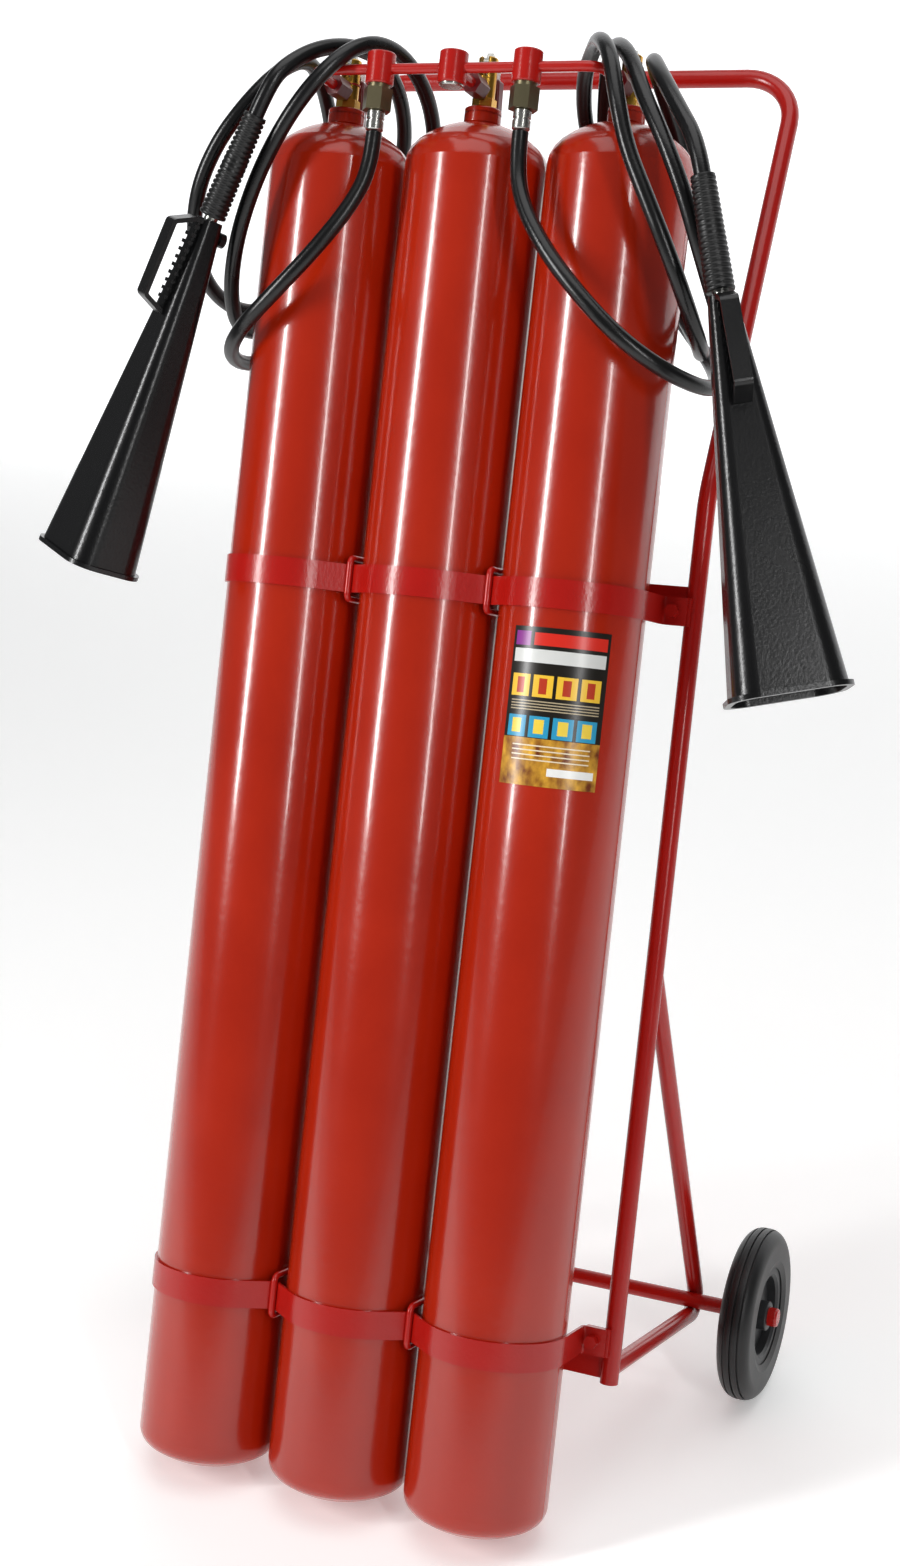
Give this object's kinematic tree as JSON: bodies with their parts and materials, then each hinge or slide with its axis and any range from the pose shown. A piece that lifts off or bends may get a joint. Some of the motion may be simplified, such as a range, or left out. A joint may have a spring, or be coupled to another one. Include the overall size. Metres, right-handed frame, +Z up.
{
  "type": "wheeled fire extinguisher",
  "caption": "Carbon dioxide cylinders in a row on a tubular two-wheeled cart, with a shared manifold, looped hoses and discharge horns.",
  "frame": {"origin": "on the floor, where the middle cylinder's axis meets it", "axes": "+Z up, +Y towards the wheels and the handle, +X to the right of the row seen from the cylinders' front"},
  "size_m": [0.9356, 0.7322, 1.5349],
  "materials": {
    "cylinder_paint": "gloss red paint over steel, slightly orange-peeled",
    "frame_paint": "gloss red paint over steel tube and bar",
    "handle_red": "dark red moulded plastic",
    "brass": "turned brass",
    "lever_metal": "plated steel",
    "plated_nut": "yellowish zinc-plated steel",
    "plated_steel": "bright zinc-plated steel",
    "hose_rubber": "black rubber",
    "horn_plastic": "black moulded plastic, satin",
    "tyre_rubber": "solid black rubber",
    "rim_plastic": "dark grey moulded plastic",
    "label_film": "printed film, text left out",
    "seal_red": "red coated wire"
  },
  "bodies": {
    "cart": {"axle": "frame_paint", "backing_plates": "frame_paint", "band_bolts": "frame_paint", "band_lugs": "frame_paint", "cylinder_left": "cylinder_paint", "cylinder_middle": "cylinder_paint", "cylinder_right": "cylinder_paint", "dip_tubes": "lever_metal", "ferrule_left": "plated_steel", "ferrule_right": "plated_steel", "grip_left": "hose_rubber", "grip_right": "hose_rubber", "handle_frame": "frame_paint", "hex_nuts": "frame_paint", "hook_bolts": "frame_paint", "horn_handle_left": "horn_plastic", "horn_handle_right": "horn_plastic", "horn_knobs": "horn_plastic", "horn_left": "horn_plastic", "horn_right": "horn_plastic", "hose_left": "hose_rubber", "hose_nut_left": "plated_nut", "hose_nut_right": "plated_nut", "hose_right": "hose_rubber", "hub_caps": "frame_paint", "label": "label_film", "lever_pins": "plated_steel", "lower_band": "frame_paint", "lower_cross_plate": "frame_paint", "manifold": "frame_paint", "neck_ring_left": "cylinder_paint", "neck_ring_middle": "cylinder_paint", "neck_ring_right": "cylinder_paint", "port_plug": "plated_steel", "seal_wire": "seal_red", "side_brace_left": "frame_paint", "side_brace_right": "frame_paint", "tube_piece_left": "plated_steel", "tube_piece_right": "plated_steel", "union_nut_left": "handle_red", "union_nut_middle": "handle_red", "union_nut_right": "handle_red", "upper_band": "frame_paint", "upper_cross_plate": "frame_paint", "valve_left": "brass", "valve_middle": "brass", "valve_right": "brass"},
    "wheel_left": {"tyre_left": "tyre_rubber", "rim_left": "rim_plastic"},
    "wheel_right": {"tyre_right": "tyre_rubber", "rim_right": "rim_plastic"},
    "lever_left": {"lever_left": "lever_metal", "lever_handle_left": "handle_red"},
    "spindle_left": {"spindle_left": "plated_steel"},
    "lever_middle": {"lever_middle": "lever_metal", "lever_handle_middle": "handle_red"},
    "spindle_middle": {"spindle_middle": "plated_steel"},
    "lever_right": {"lever_right": "lever_metal", "lever_handle_right": "handle_red"},
    "spindle_right": {"spindle_right": "plated_steel"}
  },
  "joints": [
    {"name": "wheel_left_spin", "type": "hinge", "parent": "cart", "child": "wheel_left", "pos_m": [-0.351, 0.402, 0.1], "axis": [1, 0, 0], "continuous": true},
    {"name": "wheel_right_spin", "type": "hinge", "parent": "cart", "child": "wheel_right", "pos_m": [0.351, 0.402, 0.1], "axis": [1, 0, 0], "continuous": true},
    {"name": "lever_left_swing", "type": "hinge", "parent": "cart", "child": "lever_left", "pos_m": [-0.163, 0.4075, 1.504], "axis": [1, 0, 0], "range_deg": [0, 120]},
    {"name": "spindle_left_slide", "type": "slide", "parent": "cart", "child": "spindle_left", "axis": [0, 0.2615, 0.9652], "range_m": [-0.00226, 0]},
    {"name": "lever_middle_swing", "type": "hinge", "parent": "cart", "child": "lever_middle", "pos_m": [0, 0.4075, 1.504], "axis": [1, 0, 0], "range_deg": [0, 120]},
    {"name": "spindle_middle_slide", "type": "slide", "parent": "cart", "child": "spindle_middle", "axis": [0, 0.2615, 0.9652], "range_m": [-0.00226, 0]},
    {"name": "lever_right_swing", "type": "hinge", "parent": "cart", "child": "lever_right", "pos_m": [0.163, 0.4075, 1.504], "axis": [1, 0, 0], "range_deg": [0, 120]},
    {"name": "spindle_right_slide", "type": "slide", "parent": "cart", "child": "spindle_right", "axis": [0, 0.2615, 0.9652], "range_m": [-0.00226, 0]}
  ],
  "couplings": [
    {"joint": "spindle_left_slide", "follows": "lever_left_swing", "m_per_rad": -0.0010743},
    {"joint": "spindle_middle_slide", "follows": "lever_middle_swing", "m_per_rad": -0.0010743},
    {"joint": "spindle_right_slide", "follows": "lever_right_swing", "m_per_rad": -0.0010743}
  ]
}
